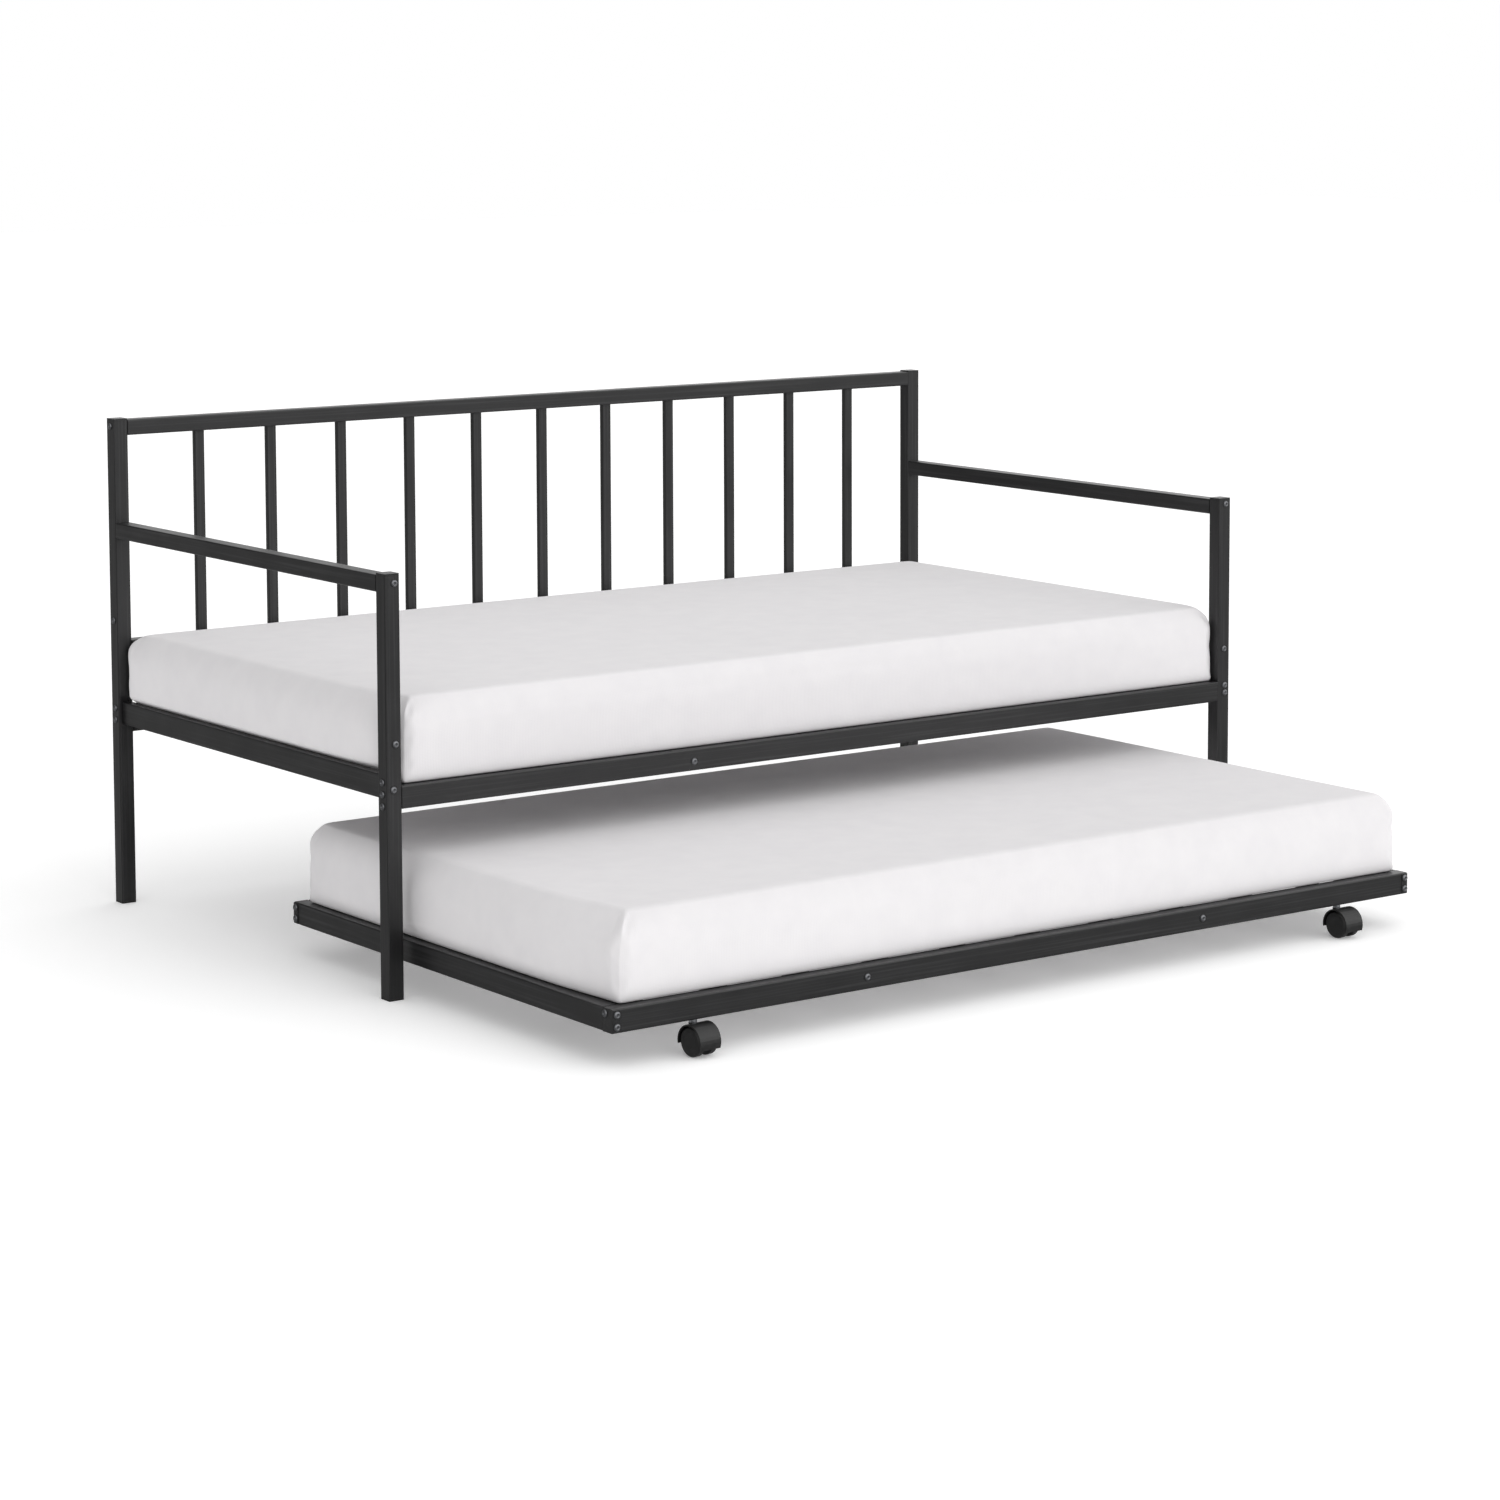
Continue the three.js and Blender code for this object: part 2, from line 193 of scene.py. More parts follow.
def makeSteel(s):
    # Turned and plated steel: bright bands round the axis, duller where the plating clouds
    pattern = steelPattern
    material = bpy.data.materials.new(s["name"])
    material.use_nodes = True
    tree = material.node_tree
    shader = tree.nodes["Principled BSDF"]
    place = addNode(tree, "ShaderNodeTexCoord").outputs["Object"]
    cloud = addNode(tree, "ShaderNodeTexNoise", {"Vector": place, "Scale": 1000 / pattern["cloud"],
                                                "Detail": 3.0})
    turning = addNode(tree, "ShaderNodeTexWave", {"Vector": place, "Scale": 1000 / pattern["mark"] / 6.28,
                                                  "Distortion": 0.6}, bands_direction="Z")
    tint = addNode(tree, "ShaderNodeMix", {"Factor": cloud.outputs["Fac"], "A": srgb(s["colour"]),
                                           "B": srgb(s["dull"])}, data_type="RGBA")
    rough = addNode(tree, "ShaderNodeMapRange", {
        "Value": cloud.outputs["Fac"], "To Min": s["roughness"] - 0.06, "To Max": s["roughness"] + 0.14})
    bump = addNode(tree, "ShaderNodeBump", {"Height": turning.outputs["Fac"], "Strength": 0.25,
                                            "Distance": pattern["markDepth"] / 1000})
    tree.links.new(tint.outputs["Result"], shader.inputs["Base Color"])
    tree.links.new(rough.outputs["Result"], shader.inputs["Roughness"])
    tree.links.new(bump.outputs["Normal"], shader.inputs["Normal"])
    shader.inputs["Metallic"].default_value = 1.0
    return material


knitSettings = {
    "colour": "#E2E0E1", "shade": "#D9D7D9", "roughness": 0.9, "sheen": 0.12, "specular": 0.25,
    "wale": 3.2,        # mm across one column of stitches; real jersey is about 1 mm, drawn coarser to show
    "course": 2.6,      # mm along one stitch
    "stitchDepth": 0.10,  # mm
    "loopShare": 0.35,  # how much of that depth the loops take, beside the columns
    "mottle": 45.0,     # mm, size of the faint darker patches
    "ripple": 170.0,    # mm, slow waves where the cover lies loose on its core
    "rippleDepth": 1.1,  # mm
}


def makeKnit(s):
    # Brushed polyester jersey, knitted: matt off-white with rows of small loops and slow soft ripples
    material = bpy.data.materials.new("whiteJerseyKnit")
    material.use_nodes = True
    tree = material.node_tree
    shader = tree.nodes["Principled BSDF"]
    coordinates = addNode(tree, "ShaderNodeTexCoord")
    place = coordinates.outputs["Object"]
    # The cover's UVs are metres
    parts = addNode(tree, "ShaderNodeSeparateXYZ", {"Vector": coordinates.outputs["UV"]})
    across = addNode(tree, "ShaderNodeMath", {0: parts.outputs["X"], 1: math.pi * 1000 / s["wale"]},
                     operation="MULTIPLY")
    column = addNode(tree, "ShaderNodeMath", {0: across.outputs[0]}, operation="SINE")
    ridge = addNode(tree, "ShaderNodeMath", {0: column.outputs[0]}, operation="ABSOLUTE")
    along = addNode(tree, "ShaderNodeMath", {0: parts.outputs["Y"], 1: 2 * math.pi * 1000 / s["course"],
                                             2: ridge.outputs[0]}, operation="MULTIPLY_ADD")
    loop = addNode(tree, "ShaderNodeMath", {0: along.outputs[0]}, operation="SINE")
    stitch = addNode(tree, "ShaderNodeMath", {0: loop.outputs[0], 1: s["loopShare"], 2: ridge.outputs[0]},
                     operation="MULTIPLY_ADD")
    ripple = addNode(tree, "ShaderNodeTexNoise", {"Vector": place, "Scale": 1000 / s["ripple"], "Detail": 2.0,
                                                  "Roughness": 0.4})
    mottle = addNode(tree, "ShaderNodeTexNoise", {"Vector": place, "Scale": 1000 / s["mottle"],
                                                  "Detail": 5.0})
    tint = addNode(tree, "ShaderNodeMix", {"Factor": mottle.outputs["Fac"], "A": srgb(s["colour"]),
                                           "B": srgb(s["shade"])}, data_type="RGBA")
    slow = addNode(tree, "ShaderNodeBump", {"Height": ripple.outputs["Fac"], "Strength": 1.0,
                                            "Distance": s["rippleDepth"] / 1000})
    fine = addNode(tree, "ShaderNodeBump", {
        "Height": stitch.outputs[0], "Strength": 0.6, "Distance": s["stitchDepth"] / 1000,
        "Normal": slow.outputs["Normal"]})
    tree.links.new(tint.outputs["Result"], shader.inputs["Base Color"])
    tree.links.new(fine.outputs["Normal"], shader.inputs["Normal"])
    shader.inputs["Roughness"].default_value = s["roughness"]
    shader.inputs["Sheen Weight"].default_value = s["sheen"]
    shader.inputs["Specular IOR Level"].default_value = s["specular"]
    return material


powderCoats = [makePowderCoat(powderCoatSettings, axis) for axis in range(3)]
nylon = makeNylon(nylonSettings)
zincSteel = makeSteel(steelSettings["zinc"])
boltSteel = makeSteel(steelSettings["bolt"])
knit = makeKnit(knitSettings)

finishes = {"black_plastic": nylon, "bright_steel": zincSteel, "knit_cover": knit}
for entry in frame["record"]["subparts"]:
    low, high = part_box(entry["node"])
    length = max(range(3), key=lambda i: high[i] - low[i])
    for slotOfNode in frame["nodes"][entry["node"]].material_slots:
        slotOfNode.material = finishes.get(entry["material_slot"], powderCoats[length])
print("materials made")


def addPiece(name, mesh, material, body):
    piece = bpy.data.objects.new(name, mesh)
    scene.collection.objects.link(piece)
    mesh.materials.clear()
    mesh.materials.append(material)
    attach(piece, body)
    return piece


# Mattresses

mattressSettings = {
    "daybed_mattress": {
        "body": "daybed", "shrink": (0.003, 0.002, 0.002),  # how much smaller than its space the cover starts
        "topRadius": 0.031, "bottomRadius": 0.005, "cornerRadius": 0.004,
        "drop": 0.0016,              # how far the foam settles onto the rails
        "swell": (0.019, 0.017),     # how far the left and right ends belly out over the side rails
        "swellFrom": (0.0172, 0.0245),  # heights above the underside where the belly starts and is full
        "squareFront": (0.86, 0.965), "squareRear": (0.993, 1.02),  # depth shares where the belly fades out
        # lean and setback of each upright corner, front left, rear left, front right, rear right
        "corners": ((0.011, 0.007), (0.002, 0.000), (0.003, -0.001), (0.002, 0.000)), "seed": 3,
    },
    "trundle_mattress": {
        "body": "trundle", "shrink": (0.002, 0.002, 0.002),
        "topRadius": 0.034, "bottomRadius": 0.005, "cornerRadius": 0.004,
        "drop": 0.0, "swell": (0.006, 0.003), "swellFrom": (0.004, 0.030),
        "squareFront": (0.55, 0.97), "squareRear": (0.80, 0.99),
        "corners": ((0.016, 0.010), (0.002, 0.000), (0.001, -0.006), (0.003, 0.000)), "seed": 8,
    },
}
coverGrid = {"wide": 0.020, "close": 0.005, "band": 0.045, "rise": 0.0085}  # vertex spacing, in metres
cornerCrease = 0.85  # how sharply the sewn uprights are kept by the smoothing
cornerFade = 0.2    # metres in from the edge where the corners' turn has died out on the flats
swellSettings = {
    "pressure": 4.0, "frames": 20, "tension": 18, "shear": 8, "bending": 1.2, "quality": 5, "mass": 0.4,
    "damping": 2.0,
    "cap": 0.012,       # metres that no point moves past
    "held": 0.004,      # metres; what is this close to the underside or the top is held
    "topHold": 0.75, "hold": 2.0,
}


def gridLine(half, s):  # positions from -half to +half, closer together near both ends
    inner = half - s["band"]
    middle = np.linspace(-inner, inner, round(2 * inner / s["wide"]) + 1)
    edge = np.linspace(inner, half, round(s["band"] / s["close"]) + 1)[1:]
    return np.concatenate([-edge[::-1], middle, edge])


def coverMesh(name, low, high, s):
    # A closed boxed cover: rounded all round, with a tighter turn at the four upright corners
    size = [(high[i] - low[i]) / 2 - s["shrink"][i] for i in range(3)]
    centre = [(high[i] + low[i]) / 2 for i in range(3)]
    size[2] = (high[2] - low[2] - s["shrink"][2]) / 2
    centre[2] = low[2] + size[2]
    lines = [gridLine(size[0], coverGrid), gridLine(size[1], coverGrid),
             np.linspace(-size[2], size[2], round(2 * size[2] / coverGrid["rise"]) + 1)]
    count = [len(line) for line in lines]
    index, points = {}, []
    for i in range(count[0]):
        for j in range(count[1]):
            shell = i in (0, count[0] - 1) or j in (0, count[1] - 1)
            for k in (range(count[2]) if shell else (0, count[2] - 1)):
                index[i, j, k] = len(points)
                points.append((lines[0][i], lines[1][j], lines[2][k]))
    p = np.array(points)
    inset = np.minimum(size[0] - np.abs(p[:, 0]), size[1] - np.abs(p[:, 1]))
    upper = p[:, 2] > 0
    radius = np.where(upper, s["topRadius"], s["bottomRadius"])
    climb = np.clip((np.abs(p[:, 2]) - (size[2] - radius)) / radius, 0, 1)
    onFlat = np.abs(np.abs(p[:, 2]) - size[2]) < 1e-9
    angle = np.where(onFlat, np.pi / 2 - np.pi / 4 * (1 - np.clip(inset / radius, 0, 1)), np.pi / 4 * climb)
    moved = np.where(onFlat & (inset > radius), inset, radius * (1 - np.cos(angle)))
    height = np.where(climb > 0, size[2] - radius + radius * np.sin(angle), np.abs(p[:, 2]))
    half = np.stack([size[0] - moved, size[1] - moved], 1)
    plan = p[:, :2] * half / np.maximum(np.stack([size[0] - inset, size[1] - inset], 1), 1e-9)
    turn = (s["cornerRadius"] * np.clip(1 - inset / cornerFade, 0.02, 1))[:, None]
    limit = np.maximum(half - turn, 0)
    core = np.clip(plan, -limit, limit)
    out = plan - core
    length = np.maximum(np.linalg.norm(out, axis=1, keepdims=True), 1e-9)
    plan = core + out * (np.max(np.abs(out), axis=1, keepdims=True) / length)
    p = np.stack([plan[:, 0], plan[:, 1], np.where(upper, height, -height)], 1) + np.array(centre)
    faces = []
    for k, flip in ((0, True), (count[2] - 1, False)):
        for i in range(count[0] - 1):
            for j in range(count[1] - 1):
                loop = [index[i, j, k], index[i + 1, j, k], index[i + 1, j + 1, k], index[i, j + 1, k]]
                faces.append(loop[::-1] if flip else loop)
    for k in range(count[2] - 1):
        for j, flip in ((0, False), (count[1] - 1, True)):
            for i in range(count[0] - 1):
                loop = [index[i, j, k], index[i + 1, j, k], index[i + 1, j, k + 1], index[i, j, k + 1]]
                faces.append(loop[::-1] if flip else loop)
        for i, flip in ((0, True), (count[0] - 1, False)):
            for j in range(count[1] - 1):
                loop = [index[i, j, k], index[i, j + 1, k], index[i, j + 1, k + 1], index[i, j, k + 1]]
                faces.append(loop[::-1] if flip else loop)
    mesh = bpy.data.meshes.new(name)
    mesh.from_pydata(p.tolist(), [], faces)
    upright = [index[i, j, k] for i in (0, count[0] - 1) for j in (0, count[1] - 1) for k in range(count[2])]
    sewn = np.zeros(len(points), bool)
    sewn[upright] = True
    ends = np.array([edge.vertices[:] for edge in mesh.edges])
    crease = mesh.attributes.new("crease_edge", "FLOAT", "EDGE")
    crease.data.foreach_set("value", np.where(sewn[ends].all(1), cornerCrease, 0.0))
    return mesh


def coordinates(mesh):
    flat = np.empty(len(mesh.vertices) * 3)
    mesh.vertices.foreach_get("co", flat)
    return flat.reshape(-1, 3)


def swell(mesh, s):
    # Cloth under pressure from inside: the border bulges between the corners, and the held top only
    # crowns a little
    start = coordinates(mesh)
    low, high = start.min(0), start.max(0)
    puffed = bpy.data.objects.new("puffed", mesh.copy())
    scene.collection.objects.link(puffed)
    held = puffed.vertex_groups.new(name="held")
    fromBottom, fromTop = start[:, 2] - low[2], high[2] - start[:, 2]
    weights = np.where(fromBottom < s["held"], 1.0, np.where(fromTop < s["held"], s["topHold"], 0.0))
    for i, weight in enumerate(weights):
        if weight > 0:
            held.add([i], float(weight), "REPLACE")
    cloth = puffed.modifiers.new("cloth", "CLOTH")
    c = cloth.settings
    c.quality, c.mass, c.air_damping = s["quality"], s["mass"], s["damping"]
    c.tension_stiffness = c.compression_stiffness = s["tension"]
    c.shear_stiffness, c.bending_stiffness = s["shear"], s["bending"]
    c.use_pressure, c.uniform_pressure_force = True, s["pressure"]
    c.vertex_group_mass, c.pin_stiffness = "held", s["hold"]
    c.effector_weights.gravity = 0
    cloth.collision_settings.use_collision = False
    cloth.point_cache.frame_start, cloth.point_cache.frame_end = 1, s["frames"]
    for step in range(1, s["frames"] + 1):
        scene.frame_set(step)
    moved = coordinates(puffed.evaluated_get(bpy.context.evaluated_depsgraph_get()).to_mesh()) - start
    scene.frame_set(1)
    bpy.data.objects.remove(puffed)
    distance = np.linalg.norm(moved, axis=1, keepdims=True)
    return start + moved * s["cap"] / (s["cap"] + distance)


def smoothStep(a, b, x):
    t = np.clip((x - a) / (b - a), 0, 1)
    return t * t * (3 - 2 * t)


# Lengths in metres; rises are shares of the height
cornerSettings = {
    "reach": (0.060, 0.120),      # how far a corner's lean fades out along the end and along the side
    "leanFrom": 0.50, "setFrom": 0.60, "setShare": 0.35,
    "pinchIn": 0.010, "pinchJitter": 0.002, "pinchRise": 0.84,  # where the pinch sits beyond the seam
    "pinchSize": (0.010, 0.085), "pinchStretch": (2.0, 0.9), "pinchReach": 0.035,
    "pinchDepth": 0.0065, "pinchDrop": 0.0030,
}


def puckerCorners(p, low, high, s):
    # Sewn upright corners: straight up, then leaning in under the top edge, with a small pinch where
    # the seam ends
    c = cornerSettings
    random = np.random.default_rng(s["seed"])
    rise = (p[:, 2] - low[2]) / (high[2] - low[2])
    corners = [(x, y) for x in (0, 1) for y in (0, 1)]
    for (cornerX, cornerY), (lean, setback) in zip(corners, s["corners"]):
        sideX, sideY = 2 * cornerX - 1, 2 * cornerY - 1
        edgeX, edgeY = (low, high)[cornerX][0], (low, high)[cornerY][1]
        awayX = np.clip(sideX * (edgeX - p[:, 0]), 0, 1)  # distance in from the end face
        awayY = np.clip(sideY * (edgeY - p[:, 1]), 0, 1)  # distance in from the front or rear face
        near = np.exp(-(awayX / c["reach"][0]) ** 2 - (awayY / c["reach"][1]) ** 2)
        p[:, 0] -= sideX * near * (setback + lean * smoothStep(c["leanFrom"], 1.0, rise))
        p[:, 1] -= sideY * c["setShare"] * lean * near * smoothStep(c["setFrom"], 1.0, rise)
        jitter = random.uniform(-c["pinchJitter"], c["pinchJitter"])
        pinchX = edgeX - sideX * (setback + lean + c["pinchIn"] + jitter)
        offsetX = sideX * (pinchX - p[:, 0]) / c["pinchSize"][0]
        offsetZ = (rise - c["pinchRise"]) / c["pinchSize"][1]
        long, short = c["pinchStretch"]
        pinch = np.exp(-((offsetX + offsetZ) / long) ** 2 - ((offsetX - offsetZ) / short) ** 2)
        pinch *= np.exp(-(awayY / c["pinchReach"]) ** 2)
        p[:, 1] -= sideY * c["pinchDepth"] * pinch
        p[:, 2] -= c["pinchDrop"] * pinch
    return p


def layUvs(mesh):  # UVs in metres, from whichever side each face looks to
    layer = mesh.uv_layers.new(name="cover")
    p = coordinates(mesh)
    for face in mesh.polygons:
        axis = max(range(3), key=lambda i: abs(face.normal[i]))
        u, v = {0: (1, 2), 1: (0, 2), 2: (0, 1)}[axis]
        for loop in face.loop_indices:
            point = p[mesh.loops[loop].vertex_index]
            layer.data[loop].uv = (point[u], point[v])


bellySettings = {
    "easeFrom": 0.7, "ease": 0.2,  # share of the height where the belly starts to shrink, and by how much
    "reach": (0.010, 0.075),       # metres in from the end where it is full, and where it is gone
    "lift": 0.0002,                # metres that the lowest point stays above the underside of its space
    "settleTo": 0.25,              # share of the height over which the settling fades out
}


def makeMattress(node, s):
    b = bellySettings
    low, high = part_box(node)
    mesh = coverMesh(node + "_cover", low, high, s)
    mesh.validate()
    p = swell(mesh, swellSettings)
    p[:, 2] += (low[2] - p[:, 2].min())
    rise = (p[:, 2] - low[2]) / (high[2] - low[2])
    belly = smoothStep(*s["swellFrom"], p[:, 2] - low[2])
    belly *= 1 - b["ease"] * smoothStep(b["easeFrom"], 1.0, rise)
    depthShare = (p[:, 1] - (low[1] + high[1]) / 2) / ((high[1] - low[1]) / 2)
    between = 1 - smoothStep(*s["squareRear"], depthShare)
    between *= 1 - smoothStep(*s["squareFront"], -depthShare)
    for side, edge, amount in ((-1, low[0], s["swell"][0]), (1, high[0], s["swell"][1])):
        inwards = smoothStep(*b["reach"], side * (edge - p[:, 0]))
        p[:, 0] += side * amount * belly * between * (1 - inwards)
    p = puckerCorners(p, low, high, s)
    p[:, 2] = np.maximum(p[:, 2], low[2] + b["lift"])
    p[:, 2] -= s["drop"] * (1 - smoothStep(0.0, b["settleTo"], rise))
    mesh.vertices.foreach_set("co", p.ravel())
    mesh.update()
    return mesh


# Metres: the gap left to a post or rail, and how far past its face a point still counts as beside it
clearance = {"gap": 0.001, "postReach": 0.004, "railReach": 0.003}


def keepBetweenPosts(p, s):  # the daybed's cover stays beside the posts and rails, and doesn't go into them
    gap = s["gap"]
    for end, side in (("left", -1), ("right", 1)):
        postLow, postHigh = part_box("post_front_" + end)
        inner = postHigh.x if side < 0 else postLow.x
        near = p[:, 1] < postHigh.y + s["postReach"]
        p[:, 0] = np.where(near & (side * (p[:, 0] - inner) > -gap), inner - side * gap, p[:, 0])
        railLow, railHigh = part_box("side_seat_rail_" + end)
        inner = railHigh.x if side < 0 else railLow.x
        near = p[:, 2] < railHigh.z + s["railReach"]
        p[:, 0] = np.where(near & (side * (p[:, 0] - inner) > -gap), inner - side * gap, p[:, 0])
    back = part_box("back_lower_rail")[0].y - gap
    p[:, 1] = np.minimum(p[:, 1], back)
    return p


def finishMattress(node, s):
    mesh = makeMattress(node, s)
    if node == "daybed_mattress":
        p = keepBetweenPosts(coordinates(mesh), clearance)
        mesh.vertices.foreach_set("co", p.ravel())
    piece = bpy.data.objects.new(node + "_raw", mesh)
    scene.collection.objects.link(piece)
    smoother = piece.modifiers.new("subdivide", "SUBSURF")
    smoother.levels = smoother.render_levels = 1
    final = bpy.data.meshes.new_from_object(piece.evaluated_get(bpy.context.evaluated_depsgraph_get()))
    bpy.data.objects.remove(piece)
    final.name = node + "_cover"
    layUvs(final)
    final.polygons.foreach_set("use_smooth", [True] * len(final.polygons))
    cover = addPiece(node + "_cover", final, knit, s["body"])
    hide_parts(node)
    print(node, "covered:", len(final.polygons), "faces")


for mattressNode, mattress in mattressSettings.items():
    finishMattress(mattressNode, mattress)


# Bolts

boltSettings = {
    "radius": 0.0064, "height": 0.0034, "socket": 0.0029, "socketDepth": 0.0028, "sides": 16, "seed": 5,
}


def boltHeadMesh(s):  # button head on the plane z = 0, with a six-sided socket
    r, h, socket = s["radius"], s["height"], s["socket"]
    profile = [(r, 0), (r, 0.22 * h), (0.90 * r, 0.62 * h), (0.70 * r, 0.90 * h), (socket * 1.25, h),
               (socket, h * 0.96), (socket, h - s["socketDepth"])]
    bm = bmesh.new()
    rings = []
    for step, (radius, height) in enumerate(profile):
        ring = []
        for i in range(s["sides"]):
            angle = 2 * math.pi * i / s["sides"]
            pull = math.cos(math.pi / 6) if i % 2 and step >= len(profile) - 2 else 1
            reach = radius * pull
            ring.append(bm.verts.new((reach * math.cos(angle), reach * math.sin(angle), height)))
        rings.append(ring)
    for lower, upper in zip(rings, rings[1:]):
        for i in range(s["sides"]):
            j = (i + 1) % s["sides"]
            bm.faces.new((lower[i], lower[j], upper[j], upper[i]))
    bm.faces.new(rings[-1])
    bm.faces.new(rings[0][::-1])
    mesh = bpy.data.meshes.new("boltHead")
    bm.to_mesh(mesh)
    bm.free()
    return mesh


def boltTree():  # puts the head on every point, facing the point's own direction, and turns each one a little
    tree = bpy.data.node_groups.new("boltsOnPoints", "GeometryNodeTree")
    for name, kind in (("Points", "NodeSocketGeometry"), ("Head", "NodeSocketObject"),
                       ("Size", "NodeSocketFloat"), ("Turn seed", "NodeSocketInt"),
                       ("Finish", "NodeSocketMaterial")):
        tree.interface.new_socket(name, in_out="INPUT", socket_type=kind)
    tree.interface.new_socket("Bolts", in_out="OUTPUT", socket_type="NodeSocketGeometry")
    start = addNode(tree, "NodeGroupInput")
    end = addNode(tree, "NodeGroupOutput")
    head = addNode(tree, "GeometryNodeObjectInfo", {"Object": start.outputs["Head"]})
    facing = addNode(tree, "GeometryNodeInputNamedAttribute", {"Name": "facing"}, data_type="FLOAT_VECTOR")
    aim = addNode(tree, "FunctionNodeAlignRotationToVector", {"Vector": facing.outputs["Attribute"]},
                  axis="Z")
    spin = addNode(tree, "FunctionNodeRandomValue", {
        "Max": (0.0, 0.0, 6.2832), "Seed": start.outputs["Turn seed"]}, data_type="FLOAT_VECTOR")
    turn = addNode(tree, "FunctionNodeEulerToRotation", {"Euler": spin.outputs["Value"]})
    both = addNode(tree, "FunctionNodeRotateRotation", {
        "Rotation": aim.outputs["Rotation"], "Rotate By": turn.outputs["Rotation"]}, rotation_space="LOCAL")
    copies = addNode(tree, "GeometryNodeInstanceOnPoints", {
        "Points": start.outputs["Points"], "Instance": head.outputs["Geometry"],
        "Rotation": both.outputs["Rotation"], "Scale": start.outputs["Size"]})
    real = addNode(tree, "GeometryNodeRealizeInstances", {"Geometry": copies.outputs["Instances"]})
    coated = addNode(tree, "GeometryNodeSetMaterial", {"Geometry": real.outputs["Geometry"],
                                                       "Material": start.outputs["Finish"]})
    tree.links.new(coated.outputs["Geometry"], end.inputs["Bolts"])
    return tree


def treeInputs(tree):  # a socket's name to its identifier
    return {item.name: item.identifier for item in tree.interface.items_tree if item.in_out == "INPUT"}


def addBolts(name, spots, body, tree, head):
    points = bpy.data.meshes.new(name + "_points")
    points.from_pydata([place for place, facing in spots], [], [])
    facing = points.attributes.new("facing", "FLOAT_VECTOR", "POINT")
    facing.data.foreach_set("vector", [value for place, direction in spots for value in direction])
    holder = bpy.data.objects.new(name + "_holder", points)
    scene.collection.objects.link(holder)
    bolts = holder.modifiers.new("bolts", "NODES")
    bolts.node_group = tree
    sockets = treeInputs(tree)
    bolts[sockets["Head"]] = head
    bolts[sockets["Size"]] = 1.0
    bolts[sockets["Turn seed"]] = boltSettings["seed"]
    bolts[sockets["Finish"]] = boltSteel
    mesh = bpy.data.meshes.new_from_object(holder.evaluated_get(bpy.context.evaluated_depsgraph_get()))
    bpy.data.objects.remove(holder)
    mesh.name = name
    mesh.polygons.foreach_set("use_smooth", [len(face.vertices) == 4 for face in mesh.polygons])
    addPiece(name, mesh, boltSteel, body)
    print(name, "placed:", len(spots))


# Bolts on each post, in metres: (distance in from the outer edge, height) on its front face, and heights
# on its side
postBolts = {
    "front_left": {"face": [(0.0190, 0.727), (0.0180, 0.448), (0.0130, 0.369)],
                   "side": [0.381, 0.360, 0.339]},
    "front_right": {"face": [(0.0135, 0.732), (0.0150, 0.440), (0.0125, 0.366), (0.0120, 0.351)],
                    "side": [0.381, 0.360, 0.339]},
    "rear_left": {"face": [], "side": [0.925, 0.550, 0.380, 0.358]},
    "rear_right": {"face": [], "side": [0.925, 0.550, 0.380, 0.358]},
}
railBolt = (-0.336, 0.351)  # the one bolt in the front seat rail


def daybedBoltSpots():
    spots = []
    for post, s in postBolts.items():
        low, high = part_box("post_" + post)
        side = -1 if post.endswith("left") else 1
        outer = low.x if side < 0 else high.x
        spots += [((outer - side * inward, low.y, z), (0, -1, 0)) for inward, z in s["face"]]
        spots += [((outer, (low.y + high.y) / 2, z), (side, 0, 0)) for z in s["side"]]
    spots.append(((railBolt[0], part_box("front_seat_rail")[0].y, railBolt[1]), (0, -1, 0)))
    return spots


trundleBolts = {"spread": 0.381, "height": 0.081, "pair": (0.0705, 0.0905), "edge": 0.0075, "inward": 0.022}


def trundleBoltSpots(s):
    low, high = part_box("trundle_front_rail")
    middle = (low.x + high.x) / 2
    spots = [((middle + side * s["spread"], low.y, s["height"]), (0, -1, 0)) for side in (-1, 1)]
    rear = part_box("trundle_end_rail_left")[1].y
    proud = stripSettings["thickness"]
    for side, edge in ((-1, low.x), (1, high.x)):
        spots += [((edge - side * s["edge"], low.y - proud, z), (0, -1, 0)) for z in s["pair"]]
        spots += [((edge + side * proud, rear - s["edge"], z), (side, 0, 0)) for z in s["pair"]]
        spots.append(((edge, low.y + s["inward"], s["pair"][1]), (side, 0, 0)))
    return spots


# Narrow bracket flanges that clamp the trundle's corners, under the pairs of bolts
stripSettings = {"width": 0.015, "thickness": 0.0012, "inset": 0.0012, "gap": 0.0001, "bevel": 0.0004}


def stripMesh(s):
    bm = bmesh.new()
    front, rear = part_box("trundle_front_rail"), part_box("trundle_end_rail_left")[1].y
    tall = (front[0].z + s["inset"], front[1].z - s["inset"])
    for side, edge in ((-1, front[0].x), (1, front[1].x)):
        x = sorted((edge, edge - side * s["width"]))
        y = (front[0].y - s["thickness"], front[0].y - s["gap"])
        addBox(bm, x, y, tall)
        x = sorted((edge + side * s["gap"], edge + side * s["thickness"]))
        addBox(bm, x, (rear - s["width"], rear), tall)
    bmesh.ops.bevel(bm, geom=bm.edges[:], offset=s["bevel"], segments=1, affect="EDGES")
    mesh = bpy.data.meshes.new("trundle_corner_strips")
    bm.to_mesh(mesh)
    bm.free()
    return mesh


def addBox(bm, x, y, z):
    made = bmesh.ops.create_cube(bm, size=1)["verts"]
    for vert in made:
        vert.co = Vector((x[vert.co.x > 0], y[vert.co.y > 0], z[vert.co.z > 0]))


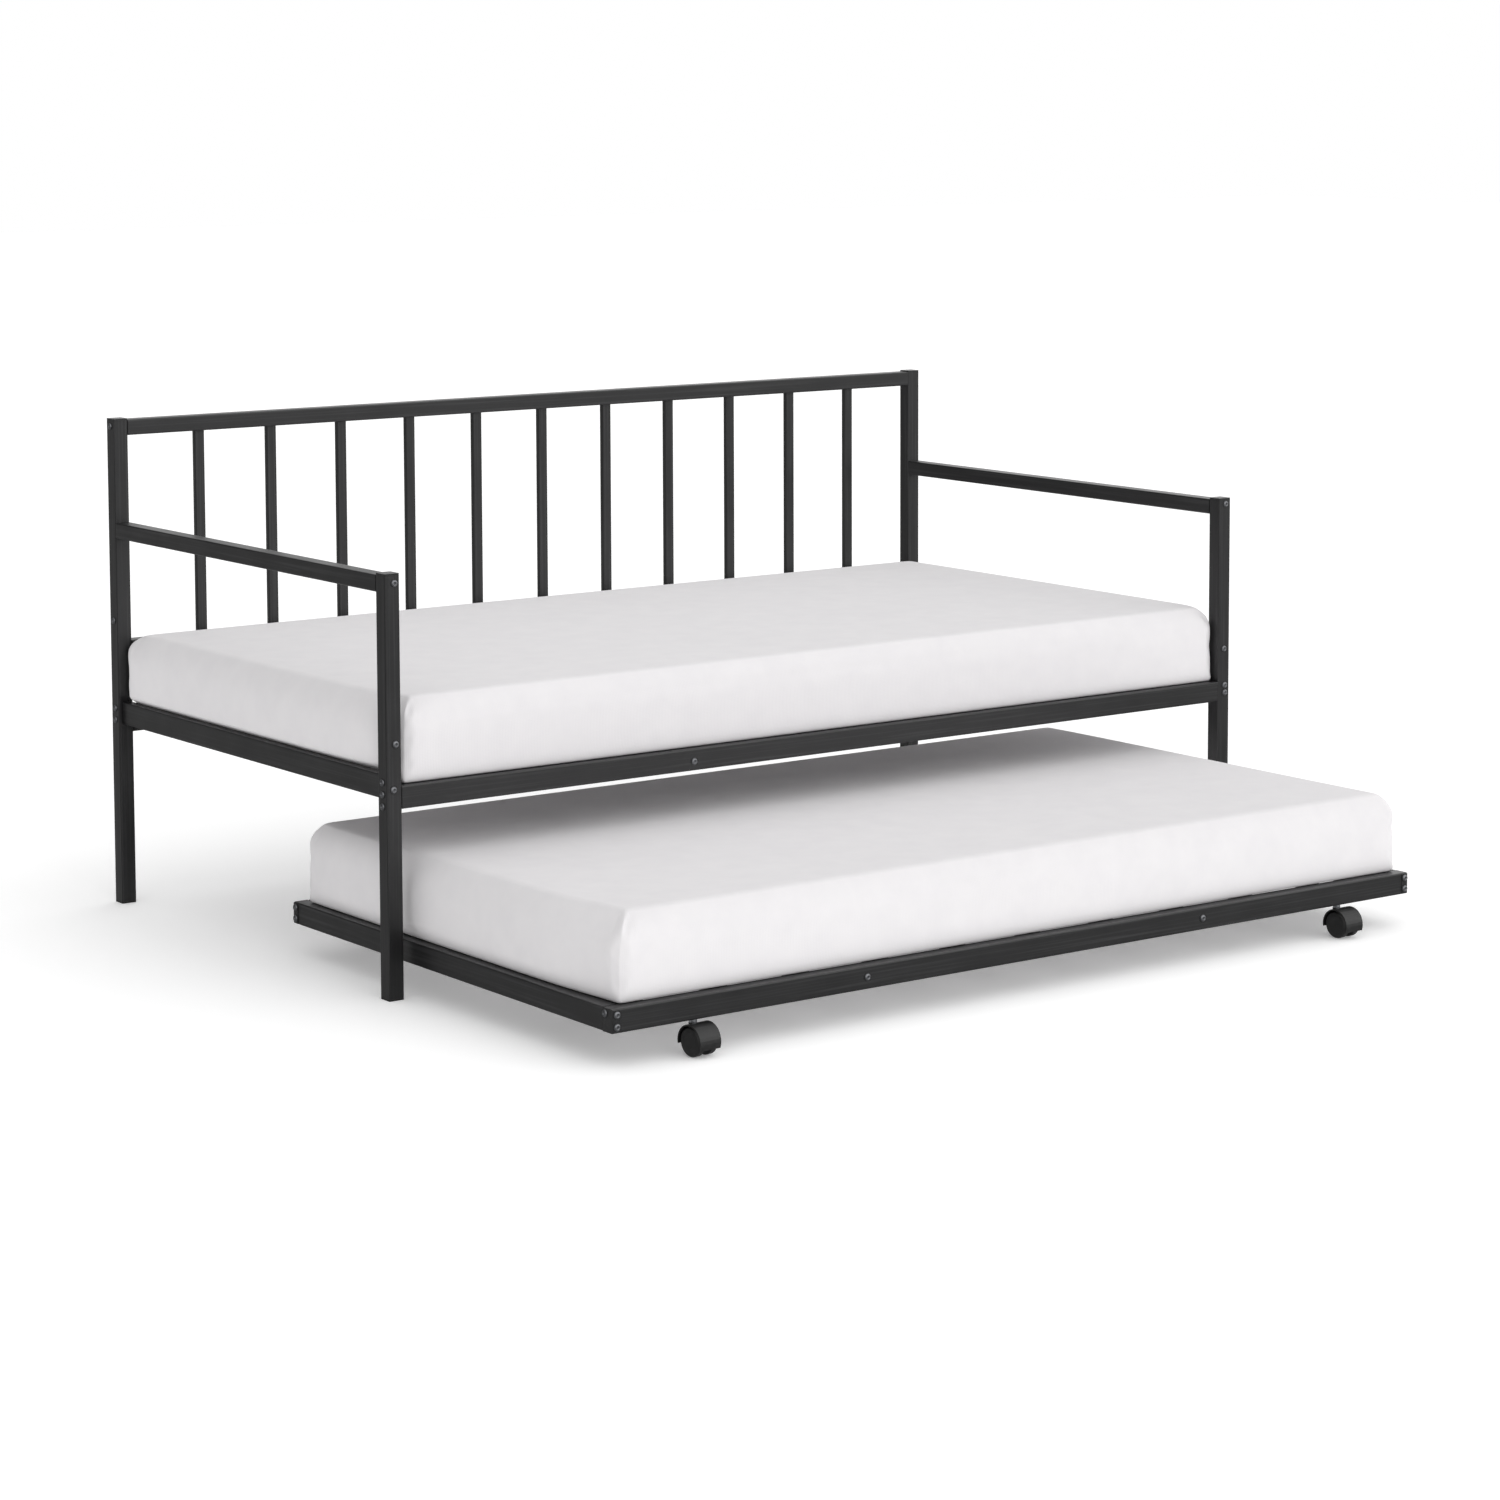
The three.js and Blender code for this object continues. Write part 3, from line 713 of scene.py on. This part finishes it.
headObject = bpy.data.objects.new("boltHead", boltHeadMesh(boltSettings))
scene.collection.objects.link(headObject)
onPoints = boltTree()
addBolts("daybed_bolts", daybedBoltSpots(), "daybed", onPoints, headObject)
addBolts("trundle_bolts", trundleBoltSpots(trundleBolts), "trundle", onPoints, headObject)
bpy.data.objects.remove(headObject)
addPiece("trundle_corner_strips", stripMesh(stripSettings), powderCoats[2], "trundle")


# Floor and light

studio = {
    "floorColour": "#F7F7F7", "floorGlow": 0.20, "floorRoughness": 0.9, "floorSpecular": 0.1,
    "floorSize": 60.0, "floorDrop": 0.0003,
    "floorReflected": "#6A6A6A",         # the floor as glossy surfaces see it, dimmer than it lights
    "sky": 1.08, "skyDark": 0.52,        # pale surroundings, bright in front and dimmer towards the back left
    "reflectedDark": 0.10,               # the same dim side, as glossy surfaces see it
    "darkSide": (-0.72, 0.69, 0.0), "darkSpread": (0.0, 0.85),
    "keyFrom": (0.40, -0.90, 0.32), "keyStrength": 0.72, "keyAngle": 80,   # large soft light, front right
}


def addStudio(s):
    mesh = bpy.data.meshes.new("floor")
    half = s["floorSize"] / 2
    corners = [(-half, -half), (half, -half), (half, half), (-half, half)]
    mesh.from_pydata([(x, y, -s["floorDrop"]) for x, y in corners], [], [(0, 1, 2, 3)])
    floor = bpy.data.objects.new("floor", mesh)
    scene.collection.objects.link(floor)
    paper = bpy.data.materials.new("whiteBackdropPaper")
    paper.use_nodes = True
    shader = paper.node_tree.nodes["Principled BSDF"]
    path = addNode(paper.node_tree, "ShaderNodeLightPath")
    tone = addNode(paper.node_tree, "ShaderNodeMix", {
        "Factor": path.outputs["Is Glossy Ray"], "A": srgb(s["floorColour"]),
        "B": srgb(s["floorReflected"])}, data_type="RGBA")
    paper.node_tree.links.new(tone.outputs["Result"], shader.inputs["Base Color"])
    shader.inputs["Roughness"].default_value = s["floorRoughness"]
    shader.inputs["Specular IOR Level"].default_value = s["floorSpecular"]
    shader.inputs["Emission Color"].default_value = (1, 1, 1, 1)
    shader.inputs["Emission Strength"].default_value = s["floorGlow"]
    mesh.materials.append(paper)
    world = bpy.data.worlds.new("studio")
    scene.world = world
    world.use_nodes = True
    tree = world.node_tree
    light = tree.nodes["Background"]
    light.inputs["Color"].default_value = (1, 1, 1, 1)
    direction = addNode(tree, "ShaderNodeTexCoord").outputs["Generated"]
    towards = addNode(tree, "ShaderNodeVectorMath", {0: direction, 1: Vector(s["darkSide"]).normalized()},
                      operation="DOT_PRODUCT")
    path = addNode(tree, "ShaderNodeLightPath")
    dim = addNode(tree, "ShaderNodeMix", {"Factor": path.outputs["Is Glossy Ray"], "A": s["skyDark"],
                                          "B": s["reflectedDark"]}, data_type="FLOAT")
    level = addNode(tree, "ShaderNodeMapRange", {
        "Value": towards.outputs["Value"], "From Min": s["darkSpread"][0], "From Max": s["darkSpread"][1],
        "To Min": s["sky"], "To Max": dim.outputs["Result"]}, interpolation_type="SMOOTHSTEP")
    tree.links.new(level.outputs["Result"], light.inputs["Strength"])
    seen = addNode(tree, "ShaderNodeBackground", {"Color": (1, 1, 1, 1), "Strength": 1.0})
    mix = addNode(tree, "ShaderNodeMixShader", {0: path.outputs["Is Camera Ray"], 1: light.outputs[0],
                                                2: seen.outputs[0]})
    tree.links.new(mix.outputs[0], tree.nodes["World Output"].inputs["Surface"])
    data = bpy.data.lights.new("key", "SUN")
    data.energy, data.angle = s["keyStrength"], math.radians(s["keyAngle"])
    lamp = bpy.data.objects.new("key", data)
    scene.collection.objects.link(lamp)
    lamp.rotation_mode = "QUATERNION"
    lamp.rotation_quaternion = Vector(s["keyFrom"]).to_track_quat("Z", "Y")


addStudio(studio)
scene.view_settings.view_transform = "Standard"
print("studio lit")
